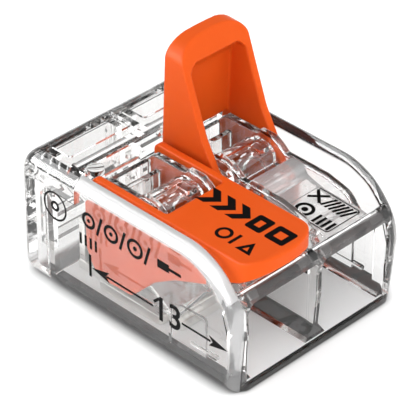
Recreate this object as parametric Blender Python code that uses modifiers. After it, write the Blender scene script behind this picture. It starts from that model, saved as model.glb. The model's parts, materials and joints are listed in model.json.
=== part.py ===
"""Two-pole lever wire connector, modelled at real size.

Metres, +Z up. The wire mouths face -Y and +X is to the right as seen from the front. The origin is at the
centre of the bottom. The left lever is closed and the right lever is open.
"""

import math

import bmesh
import bpy
from mathutils import Matrix, Vector

# Driving dimensions, in millimetres. MM turns them into metres when a mesh is made.
MM = 0.001
WIDTH = 16.0
LENGTH = 21.0
HEIGHT = 10.1
POLE_PITCH = 6.9

WALL = 1.15
FLOOR = 0.6
TOP_ROUND = 1.3
BOTTOM_ROUND = 0.85
REAR_ROUND = 0.6
SEAM = 0.05

MOUTH_FRONT = -10.2
MOUTH_TOP = 7.05
MOUTH_ROUND = 0.35
POST_HALF = 0.25
FOOT_HALF = 0.95
FOOT_TOP = 1.65
WIRE_WALL_TOP = 5.6

CHEEK_IN = 1.85
CHEEK_OUT = 2.5

LEVER_HALF = 3.22
ARM_IN = 2.6
LEVER_TOP = 9.8
PLATE_UNDER = 9.2
TIP_Y = -10.3
PIVOT_Y = 1.28
PIVOT_Z = 5.86
OPEN_DEG = 87.4
HUB_R = 1.2
HUB_IN = 2.1
HUB_GAP = 0.07

SPRING_HALF = 1.7
STRIP = 0.35
LEG_PIVOT_Y = 4.3
LEG_PIVOT_Z = 5.6
LEG_LIFT_DEG = 26.0
LEG_TIP_Y = -2.4
LEG_TIP_Z = 1.95

BAR_LOW = 0.65
BAR_TOP = 1.4
BAR_HALF = 5.9
BAR_FRONT = -3.2
BAR_REAR = 7.1

# Derived dimensions
HALF_W = WIDTH / 2
FRONT = -10.5
REAR = LENGTH / 2
WALL_IN = HALF_W - WALL
POLES = {"left": -POLE_PITCH / 2, "right": POLE_PITCH / 2}
SPLIT_TOP_Y = 5.0
SPLIT_LOW_Y = 7.75
SPLIT_Z = 8.0

COLLECTION = "lever_wire_connector"
CUTTERS = "cutters"


def reset_scene():
    for item in list(bpy.data.objects):
        bpy.data.objects.remove(item, do_unlink=True)
    for name in (COLLECTION, CUTTERS):
        group = bpy.data.collections.new(name)
        bpy.context.scene.collection.children.link(group)


def material(name, colour, roughness, metallic=0.0, transmission=0.0):
    mat = bpy.data.materials.new(name)
    mat.use_nodes = True
    shader = mat.node_tree.nodes["Principled BSDF"]
    shader.inputs["Base Color"].default_value = (*colour, 1.0)
    shader.inputs["Roughness"].default_value = roughness
    shader.inputs["Metallic"].default_value = metallic
    shader.inputs["Transmission Weight"].default_value = transmission
    return mat


def rounded(corners, step_deg=15.0):
    """Points of a closed outline. Each corner is (u, v) or (u, v, radius)."""
    points = []
    count = len(corners)
    for index, corner in enumerate(corners):
        here = Vector(corner[:2])
        radius = corner[2] if len(corner) > 2 else 0.0
        if radius == 0.0:
            points.append(tuple(here))
            continue
        back = (Vector(corners[index - 1][:2]) - here).normalized()
        ahead = (Vector(corners[(index + 1) % count][:2]) - here).normalized()
        half = back.angle(ahead) / 2
        reach = radius / math.tan(half)
        centre = here + (back + ahead).normalized() * (radius / math.sin(half))
        start = here + back * reach - centre
        end = here + ahead * reach - centre
        turn = start.angle_signed(end)
        steps = max(1, round(abs(math.degrees(turn)) / step_deg))
        for k in range(steps + 1):
            angle = -turn * k / steps
            cos, sin = math.cos(angle), math.sin(angle)
            spoke = Vector((start.x * cos - start.y * sin, start.x * sin + start.y * cos))
            points.append(tuple(centre + spoke))
    return points


def finish_mesh(name, mesh, group):
    """Weld, face outward, scale to metres and link."""
    soup = bmesh.new()
    soup.from_mesh(mesh)
    bmesh.ops.remove_doubles(soup, verts=soup.verts, dist=0.0005)
    bmesh.ops.dissolve_limit(soup, angle_limit=math.radians(0.5), verts=soup.verts, edges=soup.edges)
    bmesh.ops.recalc_face_normals(soup, faces=soup.faces)
    bmesh.ops.scale(soup, vec=(MM, MM, MM), verts=soup.verts)
    soup.to_mesh(mesh)
    soup.free()
    mesh.name = name
    item = bpy.data.objects.new(name, mesh)
    bpy.data.collections[group].objects.link(item)
    return item


def prism(name, points, axis, low, high, group=CUTTERS):
    """A flat outline extruded along axis from low to high, all in millimetres.

    Points are (y, z) along X, (x, z) along Y and (x, y) along Z.
    """
    curve = bpy.data.curves.new(name, "CURVE")
    curve.dimensions = "2D"
    curve.fill_mode = "BOTH"
    curve.extrude = (high - low) / 2
    spline = curve.splines.new("POLY")
    spline.points.add(len(points) - 1)
    for target, (u, v) in zip(spline.points, points):
        target.co = (u, v, 0.0, 1.0)
    spline.use_cyclic_u = True
    flat = bpy.data.objects.new(name, curve)
    bpy.context.scene.collection.objects.link(flat)
    evaluated = flat.evaluated_get(bpy.context.evaluated_depsgraph_get())
    mesh = bpy.data.meshes.new_from_object(evaluated)
    bpy.data.objects.remove(flat, do_unlink=True)
    middle = (low + high) / 2
    places = {
        "X": Matrix(((0, 0, 1, middle), (1, 0, 0, 0), (0, 1, 0, 0), (0, 0, 0, 1))),
        "Y": Matrix(((1, 0, 0, 0), (0, 0, 1, middle), (0, 1, 0, 0), (0, 0, 0, 1))),
        "Z": Matrix.Translation((0, 0, middle)),
    }
    mesh.transform(places[axis])
    return finish_mesh(name, mesh, group)


def box(name, low, high, group=CUTTERS):
    soup = bmesh.new()
    bmesh.ops.create_cube(soup, size=1.0)
    size = [b - a for a, b in zip(low, high)]
    centre = [(a + b) / 2 for a, b in zip(low, high)]
    bmesh.ops.scale(soup, vec=size, verts=soup.verts)
    bmesh.ops.translate(soup, vec=centre, verts=soup.verts)
    mesh = bpy.data.meshes.new(name)
    soup.to_mesh(mesh)
    soup.free()
    return finish_mesh(name, mesh, group)


def rod(name, y, z, radius, x_low, x_high, segments=32):
    """A cylinder along X."""
    soup = bmesh.new()
    bmesh.ops.create_cone(soup, cap_ends=True, segments=segments, radius1=radius, radius2=radius,
                          depth=x_high - x_low)
    bmesh.ops.rotate(soup, matrix=Matrix.Rotation(math.pi / 2, 3, "Y"), verts=soup.verts)
    bmesh.ops.translate(soup, vec=((x_low + x_high) / 2, y, z), verts=soup.verts)
    mesh = bpy.data.meshes.new(name)
    soup.to_mesh(mesh)
    soup.free()
    return finish_mesh(name, mesh, CUTTERS)


def combine(target, tool, operation):
    """Add an EXACT boolean of target with tool, and hide the tool."""
    step = target.modifiers.new(f"{operation.lower()}_{tool.name}", "BOOLEAN")
    step.operation = operation
    step.solver = "EXACT"
    step.object = tool
    tool.hide_render = True
    tool.display_type = "WIRE"


def round_ends(item, weight_of, width, segments):
    """Bevel the outline edges of a prism along X. weight_of(y, z) gives 0 to 1 from an edge's middle."""
    mesh = item.data
    weights = mesh.attributes.new("bevel_weight_edge", "FLOAT", "EDGE")
    for edge in mesh.edges:
        first, second = (mesh.vertices[v].co / MM for v in edge.vertices)
        same_end = abs(first.x - second.x) < 0.01
        middle = (first + second) / 2
        weights.data[edge.index].value = weight_of(middle.y, middle.z) if same_end else 0.0
    bevel = item.modifiers.new("round_ends", "BEVEL")
    bevel.limit_method = "WEIGHT"
    bevel.width = width * MM
    bevel.segments = segments
    bevel.use_clamp_overlap = False


def shade(item):
    item.data.shade_smooth()
    item.data.set_sharp_from_angle(angle=math.radians(35))


def side_arc(radius, start_deg, end_deg, steps):
    """Points round the lever's pivot. Zero degrees points to the front, ninety up."""
    points = []
    for k in range(steps + 1):
        angle = math.radians(start_deg + (end_deg - start_deg) * k / steps)
        points.append((PIVOT_Y - radius * math.cos(angle), PIVOT_Z + radius * math.sin(angle)))
    return points


def make_housing(clear):
    profile = rounded([
        (SPLIT_TOP_Y, HEIGHT), (-6.1, HEIGHT, 2.6), (-8.3, 9.15, 2.5), (-10.1, 6.9, 3.0), (-10.3, 4.9, 3.0),
        (-9.95, 0.0), (SPLIT_LOW_Y, 0.0), (SPLIT_LOW_Y, SPLIT_Z), (SPLIT_TOP_Y, SPLIT_Z),
    ], 18.0)
    shell = prism("housing", profile, "X", -HALF_W, HALF_W, COLLECTION)
    shell.data.materials.append(clear)

    def weight(y, z):
        if y > SPLIT_TOP_Y - 0.1 and z > 0.1:
            return 0.0
        return BOTTOM_ROUND / TOP_ROUND if z < 0.1 else 1.0

    round_ends(shell, weight, TOP_ROUND, 4)
    channel = box("channel", (-WALL_IN, FRONT - 1, FLOOR), (WALL_IN, REAR, HEIGHT + 2))
    combine(shell, channel, "DIFFERENCE")
    lip = prism("lip", rounded([(-7.3, -10.15, 0.7), (7.3, -10.15, 0.7), (7.3, -9.2), (-7.3, -9.2)]), "Z", 0.08, 0.55)
    combine(shell, lip, "UNION")
    combine(shell, mouth_frame(), "UNION")
    combine(shell, front_shelf(), "UNION")
    for side in (-1, 1):
        foot = [(side * (WALL_IN + 0.1), 0.5), (side * (WALL_IN + 0.1), FOOT_TOP), (side * WALL_IN, FOOT_TOP),
                (side * (WALL_IN - 0.7), FLOOR), (side * (WALL_IN - 0.7), 0.5)]
        combine(shell, prism(f"side_foot_{side}", foot, "Y", -9.75, BAR_FRONT - 0.3), "UNION")
        near, far = sorted((side * (WALL_IN - 0.3), side * (WALL_IN + 0.1)))
        combine(shell, box(f"side_rib_{side}", (near, -8.0, 1.72), (far, -5.5, 2.02)), "UNION")
    combine(shell, centre_wall(), "UNION")
    combine(shell, centre_fin(), "UNION")
    for pole, x in POLES.items():
        combine(shell, deck(pole, x), "UNION")
        for side in (-1, 1):
            combine(shell, cheek(f"{pole}_{side}", x, side), "UNION")
        hole = rod(f"hub_hole_{pole}", PIVOT_Y, PIVOT_Z, HUB_R + HUB_GAP, x - CHEEK_OUT - 0.05, x + CHEEK_OUT + 0.05)
        combine(shell, hole, "DIFFERENCE")
    shade(shell)


def mouth_frame():
    """The bowed front frame with its two mouths, the post between them and the bar over them."""
    side_view = rounded([(-9.4, 7.3), (MOUTH_FRONT, 7.3), (MOUTH_FRONT, 7.0), (-10.0, 6.2, 0.8), (-10.02, 4.4, 3.0),
                         (-9.68, 0.4), (-9.2, 0.4)], 18.0)
    frame = prism("mouth_frame", side_view, "X", -WALL_IN - 0.1, WALL_IN + 0.1)
    for pole, x in POLES.items():
        reach = POLE_PITCH / 2 - POST_HALF
        low, high = x - reach, x + reach
        opening = rounded([(low, FLOOR - 0.02), (high, FLOOR - 0.02),
                           (high, MOUTH_TOP, MOUTH_ROUND), (low, MOUTH_TOP, MOUTH_ROUND)], 30.0)
        combine(frame, prism(f"mouth_{pole}", opening, "Y", FRONT - 0.5, -9.0), "DIFFERENCE")
    return frame


def front_shelf():
    """The bar over the mouths, with the low webs that close the lever's slots."""
    shelf = [(-9.9, 7.05), (-9.3, 6.8), (-8.05, 6.25), (-8.05, 7.5), (-8.95, 7.5), (-8.95, 7.9), (-9.3, 7.9),
             (MOUTH_FRONT + 0.1, 7.25)]
    return prism("front_shelf", shelf, "X", -WALL_IN - 0.1, WALL_IN + 0.1)


def centre_wall():
    """The wall between the wire mouths, flared at its foot."""
    half = POST_HALF - 0.03
    section = [(-half, WIRE_WALL_TOP), (-half, FOOT_TOP), (-FOOT_HALF, FLOOR), (-FOOT_HALF, 0.4),
               (FOOT_HALF, 0.4), (FOOT_HALF, FLOOR), (half, FOOT_TOP), (half, WIRE_WALL_TOP)]
    return prism("centre_wall", section, "Y", -9.8, BAR_FRONT - 0.3)


def centre_fin():
    """The thin wall between the two levers, clear of the busbar."""
    fin = rounded([(SPLIT_TOP_Y - 0.1, 8.9), (-6.6, 8.9, 1.2), (-8.9, 6.9), (-8.9, 5.0), (-4.0, 0.5),
                   (BAR_FRONT - 0.35, 0.5), (BAR_FRONT - 0.35, 1.9), (SPLIT_TOP_Y - 0.1, 1.9)])
    return prism("centre_fin", fin, "X", -0.13, 0.13)


def deck(pole, x):
    """The deck over the wire channel: flat panel, roll, groove and barrel."""
    top = rounded([
        (MOUTH_FRONT + 0.02, 7.05), (MOUTH_FRONT + 0.02, 7.8, 0.4), (-8.6, 7.85), (-5.4, 8.0, 0.6), (-4.0, 8.35, 0.8),
        (-3.4, 9.02, 0.5), (-2.2, 9.02, 0.5), (-2.05, 8.0), (-0.85, 8.0), (-0.75, 8.75, 0.4), (0.75, 9.42, 0.2),
        (0.75, 8.5, 0.2), (-0.3, 7.5, 0.3), (-1.4, 7.1, 0.3), (-4.3, 6.6, 0.3), (-6.0, 5.95, 0.5), (-7.6, 6.0, 0.5),
        (-9.7, 7.0),
    ], 22.5)
    return prism(f"deck_{pole}", top, "X", x - CHEEK_IN - 0.1, x + CHEEK_IN + 0.1)


def cheek(label, x, side):
    """An upright wall between the lever's arm and the spring, round about the pivot."""
    lobe = side_arc(4.35, 66.0, 47.0, 4)
    outline = side_arc(4.55, 142.5, 126.0, 3) + [(1.0, 9.54), (0.7, lobe[0][1])] + lobe
    outline += rounded([(-1.85, 9.0), (-5.4, 9.0, 1.5), (-7.4, 8.55, 1.5), (-8.75, 7.05), (-8.3, 6.3),
                        (-6.2, 5.95, 0.8), (-3.2, 2.0, 0.8), (SPLIT_TOP_Y - 0.1, 2.0)])
    near, far = sorted((x + side * CHEEK_IN, x + side * CHEEK_OUT))
    return prism(f"cheek_{label}", outline, "X", near, far)


def make_rear_cover(clear):
    low_y, top_y, step_z = SPLIT_LOW_Y + SEAM, SPLIT_TOP_Y + SEAM, SPLIT_Z + SEAM
    profile = rounded([(top_y, HEIGHT), (top_y, step_z), (low_y, step_z), (low_y, 0.0), (REAR, 0.0, 0.9),
                       (REAR, HEIGHT, 1.5)], 18.0)
    cover = prism("rear_cover", profile, "X", -HALF_W, HALF_W, COLLECTION)
    cover.data.materials.append(clear)

    def weight(y, z):
        if y < SPLIT_LOW_Y + 0.2 and 0.1 < z < HEIGHT - 0.1:
            return 0.0
        if y > REAR - 0.1:
            return REAR_ROUND / TOP_ROUND
        return BOTTOM_ROUND / TOP_ROUND if z < 1.0 else 1.0

    round_ends(cover, weight, TOP_ROUND, 4)
    hollow = rounded([(top_y - 1, 9.0), (9.5, 9.0, 0.4), (9.5, FLOOR, 0.4), (top_y - 1, FLOOR)])
    combine(cover, prism("cover_hollow", hollow, "X", -WALL_IN, WALL_IN), "DIFFERENCE")
    combine(cover, box("cover_front_gap", (-WALL_IN, top_y - 1, 8.5), (WALL_IN, 6.4, HEIGHT + 1)), "DIFFERENCE")
    combine(cover, box("cover_rib", (-0.3, 7.3, 2.2), (0.3, 9.7, 9.2)), "UNION")
    for pole, x in POLES.items():
        window = rounded([(x - 2.9, 7.1, 0.3), (x + 2.9, 7.1, 0.3), (x + 2.9, 9.5, 0.3), (x - 2.9, 9.5, 0.3)], 30.0)
        combine(cover, prism(f"cover_window_{pole}", window, "Z", HEIGHT - 0.35, HEIGHT + 1), "DIFFERENCE")
        shelf = rounded([(5.2, 8.6), (5.2, 9.05), (6.3, 9.15), (6.6, 9.3), (6.6, 8.6)])
        combine(cover, prism(f"cover_shelf_{pole}", shelf, "X", x - 2.3, x + 2.3), "UNION")
        for side in (-1, 1):
            guide = x + side * 2.75
            combine(cover, box(f"cover_guide_{pole}_{side}", (guide - 0.25, 8.3, 2.2), (guide + 0.25, 9.7, 9.2)), "UNION")
    shade(cover)


def make_busbar(tinned):
    """One bar across both poles, with an upright for each spring."""
    plan = rounded([(-BAR_HALF, BAR_FRONT, 0.4), (BAR_HALF, BAR_FRONT, 0.4), (BAR_HALF, 4.2, 0.4), (5.2, 5.0, 0.4),
                    (5.2, BAR_REAR), (1.7, BAR_REAR), (1.7, 5.0, 0.4), (-1.7, 5.0, 0.4), (-1.7, BAR_REAR),
                    (-5.2, BAR_REAR), (-5.2, 5.0, 0.4), (-BAR_HALF, 4.2, 0.4)], 30.0)
    bar = prism("busbar", plan, "Z", BAR_LOW, BAR_TOP, COLLECTION)
    bar.data.materials.append(tinned)
    for pole, x in POLES.items():
        upright = box(f"upright_{pole}", (x - SPRING_HALF, BAR_REAR - 0.6, BAR_LOW + 0.1), (x + SPRING_HALF, BAR_REAR, 4.9))
        combine(bar, upright, "UNION")
        combine(bar, box(f"window_{pole}", (x - 0.9, BAR_REAR - 1, 2.4), (x + 0.9, BAR_REAR + 1, 4.0)), "DIFFERENCE")
        ridge = rod(f"contact_ridge_{pole}", BAR_FRONT + 1.0, BAR_TOP - 0.25, 0.4, x - SPRING_HALF, x + SPRING_HALF, 16)
        combine(bar, ridge, "UNION")
    shade(bar)


def strip_outline(middle, thickness):
    """The outline of a bent strip of one thickness, from the points of its middle line."""
    left, right = [], []
    last = len(middle) - 1
    for index, point in enumerate(middle):
        before = Vector(middle[max(index - 1, 0)])
        after = Vector(middle[min(index + 1, last)])
        along = (after - before).normalized()
        across = Vector((-along.y, along.x)) * thickness / 2
        left.append(tuple(Vector(point) + across))
        right.append(tuple(Vector(point) - across))
    return left + right[::-1]


def spring_bend():
    """Middle line of the spring's fixed part: the leg on the busbar and the bend behind it."""
    bend_y, bend_z, bend_r = 4.3, 3.75, 1.75
    points = [(-0.6, bend_z - bend_r), (1.8, bend_z - bend_r)]
    for k in range(13):
        angle = math.radians(-90 + 174 * k / 12)
        points.append((bend_y + bend_r * math.cos(angle), bend_z + bend_r * math.sin(angle)))
    return points


def spring_leg():
    """Middle line of the clamping leg, from the bend down to its tip, with the spring relaxed."""
    points = [(4.22, 5.51), (3.6, 5.42), (2.9, 5.18)]
    start = Vector(points[-1])
    end = Vector((LEG_TIP_Y + 0.35, LEG_TIP_Z + 0.12))
    for k in range(1, 5):
        points.append(tuple(start.lerp(end, k / 4)))
    points.append((LEG_TIP_Y, LEG_TIP_Z))
    return points


def make_springs(steel):
    for pole, x in POLES.items():
        fixed = strip_outline(spring_bend(), STRIP)
        frame = prism(f"spring_frame_{pole}", fixed, "X", x - SPRING_HALF, x + SPRING_HALF, COLLECTION)
        frame.data.materials.append(steel)
        shade(frame)
        leg = prism(f"spring_leg_{pole}", strip_outline(spring_leg(), STRIP), "X", x - SPRING_HALF, x + SPRING_HALF,
                    COLLECTION)
        leg.data.materials.append(steel)
        shade(leg)
        lift = LEG_LIFT_DEG if pole == "right" else 0.0
        hang_on_axis(leg, LEG_PIVOT_Y, LEG_PIVOT_Z, lift)


def tip_plan(x):
    """Plan outline of a lever: straight sides and a softly rounded tip."""
    depth = 1.45
    points = [(x + LEVER_HALF, 6.0)]
    steps = 16
    for k in range(steps + 1):
        across = math.cos(math.pi * k / steps)
        droop = 1 - math.sqrt(max(0.0, 1 - abs(across) ** 2.5))
        points.append((x + LEVER_HALF * across, TIP_Y + depth * droop))
    points.append((x - LEVER_HALF, 6.0))
    return points


def make_lever(pole, x, orange):
    side_view = rounded([
        (TIP_Y - 0.1, LEVER_TOP, 0.45), (TIP_Y - 0.1, 8.75, 0.3), (-8.7, 7.95, 0.3), (-6.7, 7.15, 1.0), (-3.9, 6.0, 2.0),
        (-1.9, 4.75, 1.5), (0.3, 2.5, 0.3), (2.6, 2.4, 0.8), (4.05, 2.9, 0.8), (4.73, 4.3, 0.8),
        (4.73, LEVER_TOP, 0.5),
    ])
    lever = prism(f"lever_{pole}", side_view, "X", x - LEVER_HALF - 0.2, x + LEVER_HALF + 0.2, COLLECTION)
    lever.data.materials.append(orange)
    combine(lever, prism(f"lever_plan_{pole}", tip_plan(x), "Z", 0.0, 12.0), "INTERSECT")
    under = rounded([(-8.7, 7.0), (-8.65, 8.35, 0.2), (-7.3, PLATE_UNDER, 0.5), (-2.2, PLATE_UNDER), (-1.25, 11.0),
                     (7.0, 11.0), (7.0, 1.0), (-8.7, 1.0)])
    combine(lever, prism(f"lever_under_{pole}", under, "X", x - ARM_IN, x + ARM_IN), "DIFFERENCE")
    for side in (-1, 1):
        near, far = sorted((x + side * HUB_IN, x + side * (ARM_IN + 0.3)))
        combine(lever, rod(f"hub_{pole}_{side}", PIVOT_Y, PIVOT_Z, HUB_R, near, far), "UNION")
    shade(lever)
    hang_on_axis(lever, PIVOT_Y, PIVOT_Z, OPEN_DEG if pole == "right" else 0.0)


def hang_on_axis(item, y, z, opened_deg):
    """Parent a piece and its cutters to an empty on its joint axis, and turn that empty, front side up."""
    axis = bpy.data.objects.new(f"{item.name}_axis", None)
    axis.empty_display_size = 0.003
    axis.location = (0.0, y * MM, z * MM)
    bpy.data.collections[COLLECTION].objects.link(axis)
    for child in [item] + [step.object for step in item.modifiers if step.type == "BOOLEAN"]:
        child.parent = axis
        child.matrix_parent_inverse = Matrix.Translation(axis.location).inverted()
    axis.rotation_euler = (-math.radians(opened_deg), 0.0, 0.0)


def main():
    reset_scene()
    clear = material("clear_polycarbonate", (0.93, 0.94, 0.94), 0.05, transmission=1.0)
    orange = material("orange_plastic", (0.85, 0.13, 0.02), 0.35)
    tinned = material("tinned_copper", (0.75, 0.74, 0.71), 0.3, metallic=1.0)
    steel = material("spring_steel", (0.66, 0.66, 0.65), 0.22, metallic=1.0)
    make_housing(clear)
    make_rear_cover(clear)
    make_busbar(tinned)
    make_springs(steel)
    for pole, x in POLES.items():
        make_lever(pole, x, orange)
    bpy.context.view_layer.update()


main()
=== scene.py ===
"""Two-pole lever wire connector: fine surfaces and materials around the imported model."""

import json
import math

import bmesh
import bpy
from mathutils import Matrix, Vector


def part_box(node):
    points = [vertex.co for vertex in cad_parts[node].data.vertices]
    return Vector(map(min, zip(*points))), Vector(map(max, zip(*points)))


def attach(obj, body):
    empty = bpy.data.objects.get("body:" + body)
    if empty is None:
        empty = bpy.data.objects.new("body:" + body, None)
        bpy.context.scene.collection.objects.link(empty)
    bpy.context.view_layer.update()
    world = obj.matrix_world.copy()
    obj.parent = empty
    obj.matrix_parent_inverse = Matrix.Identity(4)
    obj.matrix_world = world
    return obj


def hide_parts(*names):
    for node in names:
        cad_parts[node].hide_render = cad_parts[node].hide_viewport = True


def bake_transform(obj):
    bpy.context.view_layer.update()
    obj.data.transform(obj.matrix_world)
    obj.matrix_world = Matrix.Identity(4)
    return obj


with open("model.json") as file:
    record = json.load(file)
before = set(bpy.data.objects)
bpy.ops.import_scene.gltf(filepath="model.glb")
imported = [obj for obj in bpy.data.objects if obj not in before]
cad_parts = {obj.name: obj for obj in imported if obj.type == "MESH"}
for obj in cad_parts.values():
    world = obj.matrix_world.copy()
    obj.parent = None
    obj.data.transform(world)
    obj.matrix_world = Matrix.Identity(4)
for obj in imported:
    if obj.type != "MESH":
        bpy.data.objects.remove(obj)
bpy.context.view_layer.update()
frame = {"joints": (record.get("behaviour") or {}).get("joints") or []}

# Every length below is in millimetres; MM turns it into metres when a mesh is made.
MM = 0.001
HOUSING_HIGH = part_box("housing")[1] / MM
COVER_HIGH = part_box("rear_cover")[1] / MM
HALF_W = HOUSING_HIGH.x
HEIGHT = COVER_HIGH.z
REAR = COVER_HIGH.y
POLES = {"left": -3.45, "right": 3.45}
JOINTS = {joint["name"]: joint for joint in frame["joints"]}
PIVOT = Vector(JOINTS["open_left_lever"]["pos_m"]) / MM
LEG_PIVOT = Vector(JOINTS["lift_left_clamp"]["pos_m"]) / MM
OPEN_DEG = JOINTS["close_right_lever"]["range_deg"][1]
LIFT_DEG = JOINTS["drop_right_clamp"]["range_deg"][1]

# Housing and rear cover.
WALL = 1.15
WALL_IN = HALF_W - WALL
JAMB_IN = 6.65
FLOOR = 0.6
FLOOR_EDGE = 0.72
TOP_ROUND = 1.3
BOTTOM_ROUND = 0.85
FRONT_ROUND = 0.8
REAR_ROUND = 0.6
ROUND_SEGMENTS = 12
SWELL_START_Z = 5.5
SWELL_HEIGHT = 3.5
RIM = 0.6
CHEEK_ROUND = 0.24
CHEEK_IN = 1.85
CHEEK_OUT = 2.5
HUB_HOLE_RADIUS = 1.27
DECK_TOP = 7.86
DECK_FRONT_Y = -8.6
DECK_REAR_Y = -5.4
DECK_REAR_TOP = 8.0
BAR_FRONT = -10.2
MOUTH_TOP = 7.05
POST_HALF = 0.25
FOOT_HALF = 0.95
FOOT_TOP = 1.65
SPLIT_TOP_Y = 5.0
SPLIT_LOW_Y = 7.75
SPLIT_Z = 8.0
SEAM = 0.05
COVER_ROUND = 1.5
REAR_WALL_IN = 9.5
ROOF_UNDER = 9.0
# How far a piece reaches into the wall that it joins.
ROOT = 0.1

# Levers, springs and busbar.
LEVER_HALF = 3.2
ARM_IN = 2.6
LEVER_TOP = 9.8
PLATE_UNDER = 9.2
TIP_Y = -10.3
TIP_DEPTH = 1.55
HUB_RADIUS = 1.2
STRIP = 0.35
STRIP_HALF = 1.7

INK = 0.012
POLYCARBONATE_IOR = 1.58
ORANGE_DEEP = (0.61, 0.076, 0.007)
ORANGE_PALE = (0.67, 0.088, 0.010)
WORLD_LEVEL = 1.1
FRONT_GAIN = 0.5
FRONT_AIM = (-0.1, -0.95, 0.3)
CARD_AIM = (0.578, 0.579, 0.575)
CARD_SHADE = 0.88
SHARP_DEG = 32.0
ROUND_STEPS = 64
RING_STEPS = 40

WORK = bpy.data.collections.new("work")
bpy.context.scene.collection.children.link(WORK)


# ---------------------------------------------------------------- mesh tools


def rounded(corners, step_deg=6.0):
    """Points of a closed outline. Each corner is (u, v) or (u, v, radius)."""
    points = []
    count = len(corners)
    for index, corner in enumerate(corners):
        here = Vector(corner[:2])
        radius = corner[2] if len(corner) > 2 else 0.0
        if radius == 0.0:
            points.append(tuple(here))
            continue
        back = (Vector(corners[index - 1][:2]) - here).normalized()
        ahead = (Vector(corners[(index + 1) % count][:2]) - here).normalized()
        half = back.angle(ahead) / 2
        reach = radius / math.tan(half)
        centre = here + (back + ahead).normalized() * (radius / math.sin(half))
        start = here + back * reach - centre
        end = here + ahead * reach - centre
        turn = start.angle_signed(end)
        steps = max(1, round(abs(math.degrees(turn)) / step_deg))
        for k in range(steps + 1):
            angle = -turn * k / steps
            cos, sin = math.cos(angle), math.sin(angle)
            spoke = Vector((start.x * cos - start.y * sin, start.x * sin + start.y * cos))
            points.append(tuple(centre + spoke))
    return points


def link(name, soup):
    """Turn a bmesh in millimetres into a linked object in metres."""
    bmesh.ops.recalc_face_normals(soup, faces=soup.faces)
    bmesh.ops.scale(soup, vec=(MM, MM, MM), verts=soup.verts)
    mesh = bpy.data.meshes.new(name)
    soup.to_mesh(mesh)
    soup.free()
    item = bpy.data.objects.new(name, mesh)
    WORK.objects.link(item)
    return item


def prism(name, points, axis, low, high, edge=0.0, segments=2):
    """A closed outline extruded along an axis, with its end edges rounded by edge.

    Points are (y, z) along X, (x, z) along Y and (x, y) along Z.
    """
    soup = bmesh.new()
    base = soup.faces.new([soup.verts.new((u, v, low)) for u, v in points])
    grown = bmesh.ops.extrude_face_region(soup, geom=[base], use_keep_orig=True)
    top = [part for part in grown["geom"] if isinstance(part, bmesh.types.BMVert)]
    bmesh.ops.translate(soup, vec=(0, 0, high - low), verts=top)
    bmesh.ops.remove_doubles(soup, verts=soup.verts, dist=0.0005)
    bmesh.ops.recalc_face_normals(soup, faces=soup.faces)
    if edge:
        rims = [e for e in soup.edges if abs(e.verts[0].co.z - e.verts[1].co.z) < 1e-6]
        bmesh.ops.bevel(soup, geom=rims, offset=edge, segments=segments, profile=0.5, affect="EDGES",
                        clamp_overlap=False)
    places = {
        "X": Matrix(((0, 0, 1, 0), (1, 0, 0, 0), (0, 1, 0, 0), (0, 0, 0, 1))),
        "Y": Matrix(((1, 0, 0, 0), (0, 0, 1, 0), (0, 1, 0, 0), (0, 0, 0, 1))),
        "Z": Matrix.Identity(4),
    }
    bmesh.ops.transform(soup, matrix=places[axis], verts=soup.verts)
    return link(name, soup)


def block(name, low, high, edge=0.0):
    soup = bmesh.new()
    bmesh.ops.create_cube(soup, size=1.0)
    size = [b - a for a, b in zip(low, high)]
    centre = [(a + b) / 2 for a, b in zip(low, high)]
    bmesh.ops.scale(soup, vec=size, verts=soup.verts)
    bmesh.ops.translate(soup, vec=centre, verts=soup.verts)
    if edge:
        bmesh.ops.bevel(soup, geom=soup.edges[:], offset=edge, segments=2, profile=0.5, affect="EDGES")
    return link(name, soup)


def rod(name, y, z, radius, x_low, x_high):
    soup = bmesh.new()
    bmesh.ops.create_cone(soup, cap_ends=True, segments=ROUND_STEPS, radius1=radius, radius2=radius,
                          depth=x_high - x_low)
    bmesh.ops.rotate(soup, matrix=Matrix.Rotation(math.pi / 2, 3, "Y"), verts=soup.verts)
    bmesh.ops.translate(soup, vec=((x_low + x_high) / 2, y, z), verts=soup.verts)
    return link(name, soup)


def circle(u, v, radius):
    turns = [math.tau * k / RING_STEPS for k in range(RING_STEPS)]
    return [(u + radius * math.cos(t), v + radius * math.sin(t)) for t in turns]


def add(base, *tools):
    for tool in tools:
        boolean(base, tool, "UNION")


def cut(base, *tools):
    for tool in tools:
        boolean(base, tool, "DIFFERENCE")


def keep(base, *tools):
    for tool in tools:
        boolean(base, tool, "INTERSECT")


def boolean(base, tool, operation):
    step = base.modifiers.new(tool.name, "BOOLEAN")
    step.operation = operation
    step.solver = "EXACT"
    step.object = tool


def bake(item):
    """Apply every modifier and remove the tools that they used."""
    for step in item.modifiers:
        if step.type == "BOOLEAN" and step.object.modifiers:
            bake(step.object)
    evaluated = item.evaluated_get(bpy.context.evaluated_depsgraph_get())
    mesh = bpy.data.meshes.new_from_object(evaluated)
    tools = [step.object for step in item.modifiers if step.type == "BOOLEAN"]
    item.modifiers.clear()
    item.data = mesh
    for tool in tools:
        bpy.data.objects.remove(tool, do_unlink=True)


def smooth(item):
    """Smooth shading with crisp corners and flat faces that stay flat."""
    item.data.shade_smooth()
    item.data.set_sharp_from_angle(angle=math.radians(SHARP_DEG))
    weighted = item.modifiers.new("flat_faces", "WEIGHTED_NORMAL")
    weighted.keep_sharp = True
    weighted.weight = 80


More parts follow.
